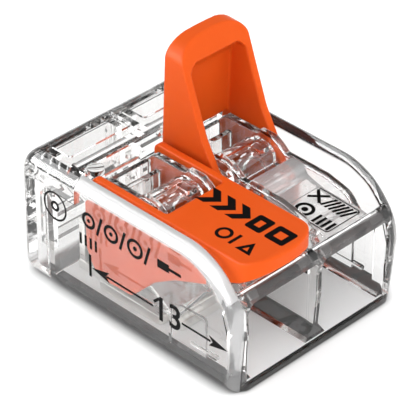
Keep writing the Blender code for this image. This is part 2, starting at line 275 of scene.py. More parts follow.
def round_ends(item, weight_of):
    """Bevel the outline edges of a prism along X; weight_of(y, z) gives 0 to 1 at an edge's middle."""
    mesh = item.data
    weights = mesh.attributes.new("bevel_weight_edge", "FLOAT", "EDGE")
    for edge in mesh.edges:
        first, second = (mesh.vertices[v].co / MM for v in edge.vertices)
        same_end = abs(first.x - second.x) < 0.01
        middle = (first + second) / 2
        weights.data[edge.index].value = weight_of(middle.y, middle.z) if same_end else 0.0
    bevel = item.modifiers.new("round_ends", "BEVEL")
    bevel.limit_method = "WEIGHT"
    bevel.width = TOP_ROUND * MM
    bevel.segments = ROUND_SEGMENTS
    bevel.use_clamp_overlap = False


def side_arc(radius, start_deg, end_deg):
    """Points round the lever's pivot. Zero degrees points to the front, ninety up."""
    points = []
    steps = 8
    for k in range(steps + 1):
        angle = math.radians(start_deg + (end_deg - start_deg) * k / steps)
        points.append((PIVOT.y - radius * math.cos(angle), PIVOT.z + radius * math.sin(angle)))
    return points


# ---------------------------------------------------------------- materials


def new_material(name, colour, metallic=0.0, transmission=0.0):
    mat = bpy.data.materials.new(name)
    mat.use_nodes = True
    shader = mat.node_tree.nodes["Principled BSDF"]
    shader.inputs["Base Color"].default_value = (*colour, 1.0)
    shader.inputs["Metallic"].default_value = metallic
    shader.inputs["Transmission Weight"].default_value = transmission
    return mat, shader


def noise(mat, scale, detail=3.0, stretch=None):
    """A noise texture in object space; scale is in cycles per metre."""
    nodes, links = mat.node_tree.nodes, mat.node_tree.links
    where = nodes.new("ShaderNodeTexCoord").outputs["Object"]
    if stretch:
        mapping = nodes.new("ShaderNodeMapping")
        mapping.inputs["Scale"].default_value = stretch
        links.new(where, mapping.inputs["Vector"])
        where = mapping.outputs["Vector"]
    texture = nodes.new("ShaderNodeTexNoise")
    texture.inputs["Scale"].default_value = scale
    texture.inputs["Detail"].default_value = detail
    links.new(where, texture.inputs["Vector"])
    return texture


def add_bump(mat, shader, texture, strength, distance_mm):
    bump = mat.node_tree.nodes.new("ShaderNodeBump")
    bump.inputs["Strength"].default_value = strength
    bump.inputs["Distance"].default_value = distance_mm * MM
    mat.node_tree.links.new(texture.outputs["Fac"], bump.inputs["Height"])
    mat.node_tree.links.new(bump.outputs["Normal"], shader.inputs["Normal"])


def vary_roughness(mat, shader, texture, low, high):
    spread = mat.node_tree.nodes.new("ShaderNodeMapRange")
    spread.inputs["To Min"].default_value = low
    spread.inputs["To Max"].default_value = high
    mat.node_tree.links.new(texture.outputs["Fac"], spread.inputs["Value"])
    mat.node_tree.links.new(spread.outputs["Result"], shader.inputs["Roughness"])


def polycarbonate(name, colour, transmission, rough, grain=(1500.0,), bump=None):
    """Moulded clear plastic. rough is its least and most roughness and grain the noise between them.

    bump is the noise of its uneven surface, with the strength and the depth in millimetres.
    """
    mat, shader = new_material(name, colour, transmission=transmission)
    shader.inputs["IOR"].default_value = POLYCARBONATE_IOR
    vary_roughness(mat, shader, noise(mat, *grain), *rough)
    if bump:
        waves, strength, depth = bump
        add_bump(mat, shader, noise(mat, *waves), strength, depth)
    return mat


def grey(level):
    return (level, level, level)


def orange_material():
    mat, shader = new_material("orange_moulded", ORANGE_DEEP)
    shader.inputs["IOR"].default_value = 1.5
    shader.inputs["Specular IOR Level"].default_value = 0.06
    shader.inputs["Subsurface Weight"].default_value = 0.12
    shader.inputs["Subsurface Radius"].default_value = (1.0, 0.35, 0.1)
    shader.inputs["Subsurface Scale"].default_value = 0.0006
    cloud = noise(mat, 500.0, 4.0)
    tint = mat.node_tree.nodes.new("ShaderNodeMix")
    tint.data_type = "RGBA"
    tint.inputs["A"].default_value = (*ORANGE_DEEP, 1.0)
    tint.inputs["B"].default_value = (*ORANGE_PALE, 1.0)
    mat.node_tree.links.new(cloud.outputs["Fac"], tint.inputs["Factor"])
    mat.node_tree.links.new(tint.outputs["Result"], shader.inputs["Base Color"])
    add_bump(mat, shader, noise(mat, 9000.0, 2.0), 0.06, 0.01)
    vary_roughness(mat, shader, noise(mat, 3000.0), 0.32, 0.42)
    return mat


def metal_material(name, colour, low, high, bump):
    """Metal with a fine grain drawn out along its length."""
    mat, shader = new_material(name, colour, metallic=1.0)
    grain = noise(mat, 9000.0, 2.0, stretch=(1.0, 0.06, 1.0))
    add_bump(mat, shader, grain, bump, 0.01)
    vary_roughness(mat, shader, grain, low, high)
    return mat


def ink_material():
    mat, shader = new_material("black_print", grey(0.002))
    shader.inputs["Specular IOR Level"].default_value = 0.04
    vary_roughness(mat, shader, noise(mat, 6000.0), 0.55, 0.7)
    return mat


def floor_material():
    """White, with a soft contact shade close under the object."""
    mat, shader = new_material("pale_floor", grey(0.97))
    vary_roughness(mat, shader, noise(mat, 60.0), 0.65, 0.75)
    contact = mat.node_tree.nodes.new("ShaderNodeAmbientOcclusion")
    contact.inputs["Distance"].default_value = 1.4 * MM
    tone = mat.node_tree.nodes.new("ShaderNodeValToRGB")
    tone.color_ramp.elements[0].color = (0.03, 0.03, 0.03, 1.0)
    tone.color_ramp.elements[1].position = 0.75
    tone.color_ramp.elements[1].color = (1.0, 1.0, 1.0, 1.0)
    mat.node_tree.links.new(contact.outputs["AO"], tone.inputs["Fac"])
    mat.node_tree.links.new(tone.outputs["Color"], shader.inputs["Base Color"])
    return mat


CLEAR = polycarbonate("clear_polycarbonate", (0.97, 0.97, 0.965), 1.0, (0.0, 0.02), (200.0, 1.0),
                      ((300.0, 1.0), 0.04, 0.05))
FROSTED = polycarbonate("frosted_polycarbonate", grey(0.88), 0.1, (0.4, 0.6), (2500.0,),
                        ((9000.0,), 0.5, 0.02))
SATIN = polycarbonate("satin_polycarbonate", grey(0.97), 0.75, (0.2, 0.3))
# Painted shade: mid-grey, half-opaque plastic laid on the left wall's outer rounded faces below the rim.
SIDE_PAINTED_SHADE = polycarbonate("side_painted_shade_polycarbonate", grey(0.5), 0.75, (0.2, 0.3))
# Painted highlight: whiter, half-opaque plastic laid on the left wall's top rounding only, standing in
# for a bright lamp reflection.
RIM_PAINTED_HIGHLIGHT = polycarbonate("rim_painted_highlight_polycarbonate", grey(0.97), 0.6, (0.1, 0.16))
# Painted shade: near-black tinted plastic laid on the front faces of the bar over the mouths.
BAR_PAINTED_SHADE = polycarbonate("bar_painted_shade_polycarbonate", (0.06, 0.0546, 0.0534), 1.0, (0.05, 0.12))
# Painted contact shade: almost black tinted plastic laid on the outer faces near the bottom and on the
# tops of the floor edges.
BOTTOM_PAINTED_SHADE = polycarbonate("bottom_painted_shade_polycarbonate", (0.015, 0.01365, 0.01335), 1.0, (0.05, 0.12))
# Clear, frosted and satin plastics, with the painted highlight and the painted shades among them.
HOUSING_SURFACES_AND_PAINTED_LIGHT = (CLEAR, FROSTED, SATIN, RIM_PAINTED_HIGHLIGHT, BAR_PAINTED_SHADE, SIDE_PAINTED_SHADE, BOTTOM_PAINTED_SHADE)
ORANGE = orange_material()
TINNED = metal_material("tinned_copper_plate", (0.78, 0.77, 0.74), 0.22, 0.4, 0.1)
STEEL = metal_material("rolled_spring_steel", (0.70, 0.70, 0.69), 0.14, 0.28, 0.15)
BLACK = ink_material()


def dress(item, mat, slot, body=None, *nodes):
    """Give a finished piece its material and body, and hide the CAD nodes it stands for; slot is not
    used.
    """
    item.data.materials.clear()
    item.data.materials.append(mat)
    if body:
        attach(item, body)
    if nodes:
        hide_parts(*nodes)


# ---------------------------------------------------------------- clear housing


def make_housing():
    profile = rounded([
        (SPLIT_TOP_Y, HEIGHT), (-6.1, HEIGHT, 4.4), (-8.3, 9.15, 4.2), (-10.05, 6.9, 4.0),
        (-10.25, 4.9, 3.0), (-9.85, 0.0), (SPLIT_LOW_Y, 0.0), (SPLIT_LOW_Y, SPLIT_Z),
        (SPLIT_TOP_Y, SPLIT_Z),
    ])
    shell = prism("clear_housing", profile, "X", -HALF_W, HALF_W)

    def weight(y, z):
        if y > SPLIT_TOP_Y - 0.1 and z > 0.1:
            return 0.0
        if z < 0.1:
            return BOTTOM_ROUND / TOP_ROUND
        rise = min(1.0, max(0.0, (z - SWELL_START_Z) / SWELL_HEIGHT))
        return (FRONT_ROUND + (TOP_ROUND - FRONT_ROUND) * rise) / TOP_ROUND

    round_ends(shell, weight)
    cut(shell, block("channel", (-WALL_IN, -12, FLOOR), (WALL_IN, REAR, HEIGHT + 2)))
    lip = rounded([(-7.3, -10.15, 0.7), (7.3, -10.15, 0.7), (7.3, -9.2), (-7.3, -9.2)])
    add(shell, prism("lip", lip, "Z", 0.06, 0.5, 0.06))
    cut(shell, rim_cutter(-1), rim_cutter(1))
    add(shell, mouth_frame())
    for side in (-1, 1):
        near, far = sorted((side * JAMB_IN, side * (WALL_IN + ROOT)))
        add(shell, block(f"jamb_{side}", (near, -9.9, FLOOR - 0.1), (far, -8.9, 7.2)))
        foot_in = side * (WALL_IN - 0.7)
        foot = [(side * (WALL_IN + ROOT), 0.5), (side * (WALL_IN + ROOT), FOOT_TOP),
                (side * WALL_IN, FOOT_TOP), (foot_in, FLOOR), (foot_in, 0.5)]
        add(shell, prism(f"side_foot_{side}", foot, "Y", -9.75, -3.5))
        near, far = sorted((side * (WALL_IN - 0.3), side * (WALL_IN + ROOT)))
        add(shell, block(f"side_rib_{side}", (near, -8.0, 1.72), (far, -5.5, 2.02), 0.08))
        add(shell, entry_panel(side))
        near, far = sorted((side * (WALL_IN - 0.55), side * (WALL_IN + ROOT)))
        low, high = (near, -8.8, FLOOR - 0.1), (far, SPLIT_LOW_Y - 0.2, FLOOR_EDGE)
        add(shell, block(f"floor_edge_{side}", low, high))
    add(shell, centre_wall(), centre_fin())
    for pole, x in POLES.items():
        add(shell, deck(pole, x), *deck_extras(pole, x))
        for side in (-1, 1):
            add(shell, cheek(f"{pole}_{side}", x, side))
        reach = CHEEK_OUT + 0.05
        cut(shell, rod(f"hub_hole_{pole}", PIVOT.y, PIVOT.z, HUB_HOLE_RADIUS, x - reach, x + reach))
    bake(shell)
    smooth(shell)
    dress(shell, CLEAR, "clear_plastic", "body", "housing")
    for surface_or_painted_light in HOUSING_SURFACES_AND_PAINTED_LIGHT[1:]:
        shell.data.materials.append(surface_or_painted_light)
    # Each face gets its plastic, a painted highlight or a painted shade, from where it lies and which way
    # it faces.
    for face in shell.data.polygons:
        surface_or_painted_light = housing_surface_or_painted_light(face.center / MM, face.normal)
        face.material_index = HOUSING_SURFACES_AND_PAINTED_LIGHT.index(surface_or_painted_light)


def housing_surface_or_painted_light(middle, normal):
    """What covers one face of the housing, from its middle in millimetres and its normal: its clear,
    frosted or satin plastic, a painted highlight or a painted shade.
    """
    if abs(middle.z - FLOOR) < 0.02 and normal.z > 0.9:
        return FROSTED
    on_deck = abs(abs(middle.x) - POLES["right"]) < CHEEK_IN and middle.z > DECK_TOP - 0.1
    if on_deck and -9.0 < middle.y < -2.0:
        return SATIN
    # Left wall only: painted highlight on its top rounding, painted shade on its outer rounded faces
    # below.
    if middle.x < -WALL_IN and 0.1 < abs(normal.x) < 0.97 and middle.z > 1.2:
        return RIM_PAINTED_HIGHLIGHT if middle.z > 7.3 else SIDE_PAINTED_SHADE
    # Painted contact shade on the outer faces near the bottom.
    outside = abs(middle.x) > WALL_IN or middle.y < -9.6
    if middle.z < 1.0 and outside and -0.97 < normal.z < 0.5:
        return BOTTOM_PAINTED_SHADE
    # Painted contact shade on the tops of the floor edges.
    if abs(middle.z - FLOOR_EDGE) < 0.02 and normal.z > 0.9:
        return BOTTOM_PAINTED_SHADE
    # Painted shade on the front faces of the bar over the mouths.
    on_bar = middle.y < -9.7 and 6.5 < middle.z < 7.8 and abs(middle.x) < JAMB_IN
    if on_bar and normal.y < -0.1:
        return BAR_PAINTED_SHADE
    return CLEAR


def mouth_frame():
    """The front frame with its two mouths, the post between them and the bar over them."""
    side_view = rounded([(-9.2, 7.84, 0.3), (-10.12, 7.84, 0.75), (BAR_FRONT, 6.9, 0.4),
                         (-10.0, 6.2, 0.8), (-10.02, 4.4, 3.0), (-9.68, 0.4), (-9.2, 0.4)])
    frame_wall = prism("mouth_frame", side_view, "X", -WALL_IN - ROOT, WALL_IN + ROOT)
    for pole, x in POLES.items():
        low, high = (-JAMB_IN, -POST_HALF) if x < 0 else (POST_HALF, JAMB_IN)
        opening = rounded([(low, FLOOR - 0.02), (high, FLOOR - 0.02), (high, MOUTH_TOP, 0.4),
                           (low, MOUTH_TOP, 0.4)], 9.0)
        cut(frame_wall, prism(f"mouth_{pole}", opening, "Y", -12, -9.0))
    return frame_wall


def rim_cutter(side):
    """What rounding the inner edge of a side wall's rim takes away, lofted along the rim."""
    rim = rounded([(SPLIT_TOP_Y + 1, HEIGHT), (-6.1, HEIGHT, 4.6), (-8.3, 9.15, 4.4), (-10.05, 6.9)])
    across = []
    for index in range(len(rim)):
        along = Vector(rim[min(index + 1, len(rim) - 1)]) - Vector(rim[max(index - 1, 0)])
        across.append(Vector((-along.y, along.x)).normalized())
    steps = [(-0.05, RIM)]
    for turn in map(math.radians, range(0, 81, 16)):
        steps.append((RIM - RIM * math.cos(turn), RIM - RIM * math.sin(turn)))
    steps.append((0.95 * RIM, -0.05))
    soup = bmesh.new()
    rings = []
    for inset, depth in steps:
        outline = [Vector(point) + normal * depth for point, normal in zip(rim, across)]
        outline += [Vector((-13, 6.9)), Vector((-13, 13)), Vector((SPLIT_TOP_Y + 1, 13))]
        rings.append([soup.verts.new((side * (WALL_IN + inset), y, z)) for y, z in outline])
    for near, far in zip(rings, rings[1:]):
        for index in range(len(near)):
            soup.faces.new((near[index - 1], near[index], far[index], far[index - 1]))
    soup.faces.new(rings[0])
    soup.faces.new(rings[-1])
    return link(f"rim_cutter_{side}", soup)


def entry_panel(side):
    """The raised panel beside the conductor's entry, with a quarter-round upper corner."""
    outline = rounded([(-3.7, 0.5), (-3.7, 4.4, 1.1), (-7.0, 4.6, 0.3), (-7.0, 0.5)])
    near, far = sorted((side * (WALL_IN - 0.22), side * (WALL_IN + ROOT)))
    return prism(f"entry_panel_{side}", outline, "X", near, far, 0.08)


def centre_wall():
    """The wall between the wire mouths, flared at its foot."""
    half = POST_HALF - 0.03
    section = [(-half, 5.6), (-half, FOOT_TOP), (-FOOT_HALF, FLOOR), (-FOOT_HALF, 0.4),
               (FOOT_HALF, 0.4), (FOOT_HALF, FLOOR), (half, FOOT_TOP), (half, 5.6)]
    return prism("centre_wall", section, "Y", -9.8, -3.5)


def centre_fin():
    """The thin wall between the two levers, clear of the busbar."""
    fin = rounded([(SPLIT_TOP_Y - 0.1, 8.9), (-6.6, 8.9, 1.2), (-8.9, 6.9), (-8.9, 5.0), (-4.0, 0.5),
                   (-3.55, 0.5), (-3.55, 1.9), (SPLIT_TOP_Y - 0.1, 1.9)])
    return prism("centre_fin", fin, "X", -0.13, 0.13)


def deck(pole, x):
    """The deck over the wire channel, as one thin wall: flat panel, roll, groove and hump."""
    wall = rounded([
        (-9.4, 7.15), (-9.4, 7.72), (DECK_FRONT_Y, DECK_TOP), (DECK_REAR_Y, DECK_REAR_TOP, 0.6),
        (-4.0, 8.35, 0.8), (-3.5, 9.02, 0.55), (-2.1, 9.02, 0.55), (-2.0, 8.0, 0.1), (-0.95, 8.0, 0.1),
        (-0.9, 9.15, 0.9), (1.6, 9.4, 1.1), (2.1, 7.4, 0.2), (1.6, 7.4, 0.2), (1.2, 8.8, 0.7),
        (-0.35, 8.6, 0.5), (-0.5, 7.25, 0.2), (-2.2, 7.2, 0.3), (-3.6, 7.5, 0.6), (-5.4, 7.2, 0.6),
        (-6.6, 6.4, 0.3), (-7.0, 6.45, 0.3), (-8.0, 7.1, 0.3),
    ])
    return prism(f"deck_{pole}", wall, "X", x - CHEEK_IN - ROOT, x + CHEEK_IN + ROOT)


def deck_extras(pole, x):
    """What stands about the deck: a tab on its hump, and two cross walls in the well behind it."""
    low, high = x - CHEEK_IN - ROOT, x + CHEEK_IN + ROOT
    return [
        block(f"barrel_tab_{pole}", (x + 0.5, -0.7, 8.6), (x + 1.45, 0.5, 9.4), 0.12),
        block(f"well_wall_{pole}", (low, 3.3, 6.6), (high, 3.75, 8.5), 0.08),
        block(f"stop_wall_{pole}", (low, 4.45, 2.3), (high, 4.85, 8.8), 0.08),
    ]


def cheek(label, x, side):
    """An upright wall between the lever's arm and the spring, round about the pivot."""
    lobe = side_arc(4.35, 66.0, 47.0)
    outline = side_arc(4.55, 142.5, 126.0) + [(1.0, 9.54), (0.7, lobe[0][1])] + lobe
    outline += rounded([(-1.85, 9.0), (-5.4, 9.0, 1.5), (-7.4, 8.55, 1.5), (-8.75, 7.05), (-8.3, 6.3),
                        (-6.2, 5.95, 0.8), (-3.2, 2.0, 0.8), (SPLIT_TOP_Y - 0.1, 2.0)])
    near, far = sorted((x + side * CHEEK_IN, x + side * CHEEK_OUT))
    return prism(f"cheek_{label}", outline, "X", near, far, CHEEK_ROUND, 5)


# ---------------------------------------------------------------- clear rear cover


def make_cover():
    low_y, top_y, step_z = SPLIT_LOW_Y + SEAM, SPLIT_TOP_Y + SEAM, SPLIT_Z + SEAM
    profile = rounded([(top_y, HEIGHT), (top_y, step_z), (low_y, step_z), (low_y, 0.0), (REAR, 0.0, 0.9),
                       (REAR, HEIGHT, COVER_ROUND)])
    cover = prism("clear_rear_cover", profile, "X", -HALF_W, HALF_W)

    def weight(y, z):
        if y < SPLIT_LOW_Y + 0.2 and 0.1 < z < HEIGHT - 0.1:
            return 0.0
        high = min(1.0, max(0.0, (z - (HEIGHT - COVER_ROUND)) / COVER_ROUND))
        low = min(1.0, max(0.0, (0.9 - z) / 0.9))
        radius = REAR_ROUND + (TOP_ROUND - REAR_ROUND) * high + (BOTTOM_ROUND - REAR_ROUND) * low
        return radius / TOP_ROUND

    round_ends(cover, weight)
    hollow = rounded([(top_y - 1, ROOF_UNDER), (REAR_WALL_IN, ROOF_UNDER, 0.4),
                      (REAR_WALL_IN, FLOOR, 0.4), (top_y - 1, FLOOR)])
    cut(cover, prism("cover_hollow", hollow, "X", -WALL_IN, WALL_IN))
    cut(cover, block("cover_front_gap", (-WALL_IN, top_y - 1, 8.5), (WALL_IN, 6.4, HEIGHT + 1)))
    add(cover, block("cover_rib", (-0.3, 7.3, 2.2), (0.3, 9.7, 9.2)))
    for pole, x in POLES.items():
        low, high = x - 2.9, x + 2.9
        window = rounded([(low, 7.1, 0.3), (high, 7.1, 0.3), (high, 9.5, 0.3), (low, 9.5, 0.3)])
        cut(cover, prism(f"cover_window_{pole}", window, "Z", HEIGHT - 0.35, HEIGHT + 1))
        shelf = rounded([(5.2, 8.6), (5.2, 9.05), (6.3, 9.15), (6.6, 9.3), (6.6, 8.6)])
        add(cover, prism(f"cover_shelf_{pole}", shelf, "X", x - 2.3, x + 2.3))
        disc = circle(x - 1.86, 5.75, 0.62)
        add(cover, prism(f"cover_disc_{pole}", disc, "Z", ROOF_UNDER, 9.42, 0.06))
        for side in (-1, 1):
            low, high = (x + side * 2.75 - 0.25, 8.3, 2.2), (x + side * 2.75 + 0.25, 9.7, 9.2)
            add(cover, block(f"cover_guide_{pole}_{side}", low, high, 0.06))
        for row, z in enumerate((2.4, 4.3, 6.2)):
            low, high = (x - 2.6, 8.7, z), (x + 2.6, 9.6, z + 0.35)
            add(cover, block(f"cover_rung_{pole}_{row}", low, high, 0.06))
    arch = rounded([(10.0, 7.75, 0.2), (10.0, 8.15, 0.2), (8.2, 8.15, 0.75), (8.2, 0.5), (8.55, 0.5),
                    (8.55, 7.75, 0.4)])
    for side in (-1, 1):
        near, far = sorted((side * (WALL_IN - 0.35), side * (WALL_IN + ROOT)))
        add(cover, prism(f"cover_arch_{side}", arch, "X", near, far, 0.06))
    bake(cover)
    smooth(cover)
    dress(cover, CLEAR, "clear_plastic", "body", "rear_cover")


# ---------------------------------------------------------------- levers


def tip_plan(x):
    """Plan outline of a lever: straight sides and a softly rounded tip."""
    points = [(x + LEVER_HALF, 6.0)]
    steps = 48
    for k in range(steps + 1):
        across = math.cos(math.pi * k / steps)
        droop = 1 - math.sqrt(max(0.0, 1 - abs(across) ** 2.5))
        points.append((x + LEVER_HALF * across, TIP_Y + TIP_DEPTH * droop))
    points.append((x - LEVER_HALF, 6.0))
    return points


def make_lever(pole, x):
    side_view = rounded([
        (TIP_Y - 0.1, LEVER_TOP, 0.45), (TIP_Y - 0.1, 8.75, 0.3), (-8.7, 7.95, 0.3), (-6.7, 7.15, 1.0),
        (-3.9, 6.0, 2.0), (-1.9, 4.75, 1.5), (0.3, 2.5, 0.3), (2.6, 2.4, 0.8), (4.05, 2.9, 0.8),
        (4.73, 4.3, 0.8), (4.73, LEVER_TOP, 0.5),
    ])
    lever = prism(f"orange_lever_{pole}", side_view, "X", x - LEVER_HALF - 0.2, x + LEVER_HALF + 0.2)
    keep(lever, prism("plan", tip_plan(x), "Z", 0.0, 12.0))
    under = rounded([(-8.7, 7.0), (-8.65, 8.35, 0.2), (-7.3, PLATE_UNDER, 0.5), (-2.2, PLATE_UNDER),
                     (-1.25, 11.0), (7.0, 11.0), (7.0, 1.0), (-8.7, 1.0)])
    recess = prism("under", under, "X", x - ARM_IN, x + ARM_IN)
    half = ARM_IN + 0.1
    corners = rounded([(x - half, 8.0), (x - half, -8.75, 1.2), (x + half, -8.75, 1.2), (x + half, 8.0)])
    keep(recess, prism("recess_corners", corners, "Z", 0.5, 11.5))
    cut(lever, recess)
    for side in (-1, 1):
        near, far = sorted((x + side * 2.1, x + side * (ARM_IN + 0.3)))
        add(lever, rod(f"hub_{side}", PIVOT.y, PIVOT.z, HUB_RADIUS, near, far))
    bake(lever)
    soften(lever, 0.09, 5)
    if pole == "right":
        lever.data.transform(turn_about(PIVOT, OPEN_DEG))
    dress(lever, ORANGE, "orange_plastic", f"lever_{pole}", f"lever_{pole}")


def soften(item, voxel, passes):
    """Remesh evenly and relax, which rounds every edge as a mould does."""
    remesh = item.modifiers.new("even", "REMESH")
    remesh.mode = "VOXEL"
    remesh.voxel_size = voxel * MM
    relax = item.modifiers.new("relax", "SMOOTH")
    relax.factor = 0.5
    relax.iterations = passes
    bake(item)
    item.data.shade_smooth()


def turn_about(pivot, degrees):
    """Rotation that lifts the front about an axis along X."""
    place = Matrix.Translation((0, pivot.y * MM, pivot.z * MM))
    return place @ Matrix.Rotation(-math.radians(degrees), 4, "X") @ place.inverted()


# ---------------------------------------------------------------- metal inside


def strip_outline(middle, thickness):
    """The outline of a bent strip of one thickness, from the points of its middle line."""
    left, right = [], []
    last = len(middle) - 1
    for index, point in enumerate(middle):
        before = Vector(middle[max(index - 1, 0)])
        after = Vector(middle[min(index + 1, last)])
        along = (after - before).normalized()
        across = Vector((-along.y, along.x)) * thickness / 2
        left.append(tuple(Vector(point) + across))
        right.append(tuple(Vector(point) - across))
    return left + right[::-1]


def make_spring(pole, x):
    """One continuous strip: anchor leg, bend and clamping leg."""
    bend_y, bend_z, bend_r = 4.3, 3.75, 1.75
    middle = [(1.5, bend_z - bend_r), (2.6, bend_z - bend_r)]
    for k in range(25):
        angle = math.radians(-90 + 174 * k / 24)
        middle.append((bend_y + bend_r * math.cos(angle), bend_z + bend_r * math.sin(angle)))
    shoulder, tip = (2.9, 5.18), (-2.05, 2.07)
    leg = [(3.6, 5.42), shoulder]
    for k in range(1, 13):
        leg.append(tuple(Vector(shoulder).lerp(Vector(tip), k / 12)))
    leg.append((-2.4, 1.95))
    if pole == "right":
        turned = turn_about(LEG_PIVOT, LIFT_DEG)
        moved = [turned @ Vector((0, y * MM, z * MM)) / MM for y, z in leg]
        leg = [(point.y, point.z) for point in moved]
    strip = prism(f"clamp_spring_{pole}", strip_outline(middle + leg, STRIP), "X", x - STRIP_HALF,
                  x + STRIP_HALF, 0.06)
    strip.data.shade_smooth()
    strip.data.set_sharp_from_angle(angle=math.radians(40))
    dress(strip, STEEL, "spring_steel")
    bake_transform(strip)
    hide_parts(f"spring_frame_{pole}", f"spring_leg_{pole}")


def make_busbar():
    plan = rounded([
        (-5.9, -1.7, 0.3), (-5.2, -1.7), (-5.2, -3.2, 0.4), (5.2, -3.2, 0.4), (5.2, -1.7),
        (5.9, -1.7, 0.3), (5.9, 4.2, 0.4), (5.2, 5.0, 0.4), (5.2, 7.1), (1.7, 7.1), (1.7, 5.0, 0.4),
        (-1.7, 5.0, 0.4), (-1.7, 7.1), (-5.2, 7.1), (-5.2, 5.0, 0.4), (-5.9, 4.2, 0.4),
    ])
    bar = prism("tinned_busbar", plan, "Z", 0.65, 1.4, 0.08)
    for pole, x in POLES.items():
        low, high = x - STRIP_HALF, x + STRIP_HALF
        add(bar, block(f"upright_{pole}", (low, 6.5, 0.75), (high, 7.1, 4.9), 0.08))
        cut(bar, block(f"window_{pole}", (x - 0.9, 6.0, 2.4), (x + 0.9, 8.0, 4.0)))
        add(bar, rod(f"ridge_{pole}", -2.2, 1.15, 0.4, low, high))
    bake(bar)
    smooth(bar)
    dress(bar, TINNED, "tinned_copper", "body", "busbar")


# ---------------------------------------------------------------- prints


def ring(u, v, outer, inner=0.0):
    """Loops of a disc or a ring about (u, v)."""
    return [circle(u, v, radius) for radius in (outer, inner) if radius]


def stroke(start, end, width):
    """Loop of a straight stroke."""
    return [strip_outline([start, end], width)]


def arrow_head(u, v, length, half):
    """Loop of a filled head with its tip at (u, v), whose back lies length further along u."""
    back = u + length
    return [[(u, v), (back, v + half), (u + length * 0.8, v), (back, v - half)]]


def numeral(text, u, v, size, squeeze):
    """Mesh of a number centred on (u, v), narrowed by squeeze."""
    words = bpy.data.curves.new("numeral", "FONT")
    words.body = text
    words.size = size
    words.align_x = "CENTER"
    words.align_y = "CENTER"
    words.offset = 0.015 * size
    words.extrude = INK / 2
    return curve_mesh(words, Matrix.Translation((u, v, 0)) @ Matrix.Diagonal((squeeze, 1, 1, 1)))


def flat_mesh(loops):
    """Mesh of ink inside closed loops; a loop inside another is a hole."""
    curve = bpy.data.curves.new("ink", "CURVE")
    curve.dimensions = "2D"
    curve.fill_mode = "BOTH"
    curve.extrude = INK / 2
    for loop in loops:
        spline = curve.splines.new("POLY")
        spline.points.add(len(loop) - 1)
        spline.use_cyclic_u = True
        for point, (u, v) in zip(spline.points, loop):
            point.co = (u, v, 0, 1)
    return curve_mesh(curve, Matrix.Identity(4))


def curve_mesh(curve, place):
    source = bpy.data.objects.new("source", curve)
    WORK.objects.link(source)
    mesh = bpy.data.meshes.new_from_object(source.evaluated_get(bpy.context.evaluated_depsgraph_get()))
    bpy.data.objects.remove(source, do_unlink=True)
    mesh.transform(place)
    return mesh


def print_on(name, meshes, place, body):
    """Join flat marks, drawn in (u, v) millimetres, and lay them on a face of a body."""
    soup = bmesh.new()
    for mesh in meshes:
        soup.from_mesh(mesh)
    bmesh.ops.remove_doubles(soup, verts=soup.verts, dist=0.001)
    bmesh.ops.transform(soup, matrix=place, verts=soup.verts)
    item = link(name, soup)
    item.data.materials.append(BLACK)
    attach(item, body)
    return item


def side_print():
    """Strip gauge of 13 mm, conductor symbols above it and a round symbol behind them."""
    front, rear, gauge_z = 9.5, -3.57, 3.62
    head, head_half, shaft = 1.75, 0.42, 0.17
    marks = [
        flat_mesh(stroke((rear, 2.83), (rear, 4.65), 0.24)),
        flat_mesh(arrow_head(rear + 0.14, gauge_z, head, head_half)),
        flat_mesh(stroke((rear + 1.6, gauge_z), (2.55, gauge_z), shaft)),
        flat_mesh(stroke((5.25, gauge_z), (front - 1.6, gauge_z), shaft)),
        flat_mesh(arrow_head(front, gauge_z, -head, head_half)),
        numeral("13", 3.95, gauge_z, 2.7, 0.98),
        flat_mesh(stroke((2.62, 4.02), (3.12, 4.5), 0.22)),
    ]
    z = 7.4
    u = -3.6
    for size in (0.64, 0.7, 0.76):
        marks.append(flat_mesh(ring(u, z, size, size - 0.24)))
        marks.append(flat_mesh(ring(u, z, size * 0.24)))
        u += size + 0.4
        marks.append(flat_mesh(stroke((u - 0.24, z - 0.78), (u + 0.24, z + 0.78), 0.23)))
        u += 0.5 + size
    marks.append(flat_mesh(stroke((u - 0.3, z), (u + 0.8, z), 0.66)))
    marks.append(flat_mesh(stroke((u + 0.8, z), (u + 1.9, z), 0.24)))
    marks.append(flat_mesh(ring(-6.95, 6.95, 1.15, 1.0)))
    marks.append(flat_mesh(ring(-6.95, 6.95, 0.42, 0.2)))
    for k in range(4):
        bar_u = -4.45 + 0.5 * k
        marks.append(flat_mesh(stroke((bar_u, 5.15), (bar_u, 6.05), 0.22)))
    place = Matrix(((0, 0, -1, -HALF_W - INK / 2), (-1, 0, 0, 0), (0, 1, 0, 0), (0, 0, 0, 1)))
    print_on("gauge_print_left", marks, place, "body")


def panel_print():
    """Hatching, bars, a cross and a ring in a frame, on the deck panels under the levers."""
    slope = (DECK_REAR_TOP - DECK_TOP) / (DECK_REAR_Y - DECK_FRONT_Y)
    rise = DECK_TOP - DECK_FRONT_Y * slope + 0.02
    place = Matrix(((0, 1, 0, 0), (-1, 0, 0, 0), (-slope, 0, 1, rise), (0, 0, 0, 1)))
    for pole, x in POLES.items():
        marks = []
        for k in range(6):
            u = 8.35 - 0.36 * k
            marks.append(flat_mesh(stroke((u, x + 0.3), (u + 0.45, x + 1.5), 0.2)))
        for k in range(4):
            u = 8.7 - 0.42 * k
            marks.append(flat_mesh(stroke((u, x - 1.5), (u, x - 0.5), 0.22)))
        marks.append(flat_mesh(ring(6.2, x - 0.85, 0.72, 0.46)))
        marks.append(flat_mesh(ring(6.2, x - 0.85, 0.24)))
        marks.append(flat_mesh(stroke((5.3, x + 0.35), (6.4, x + 1.45), 0.24)))
        marks.append(flat_mesh(stroke((6.4, x + 0.35), (5.3, x + 1.45), 0.24)))
        outline = []
        for inset in (0.0, 0.07):
            low, high, half = 5.1 + inset, 9.0 - inset, 1.7 - inset
            outline.append(rounded([(low, x - half, 0.3), (high, x - half, 0.3), (high, x + half, 0.3),
                                    (low, x + half, 0.3)]))
        marks.append(flat_mesh(outline))
        print_on(f"panel_print_{pole}", marks, place, "body")


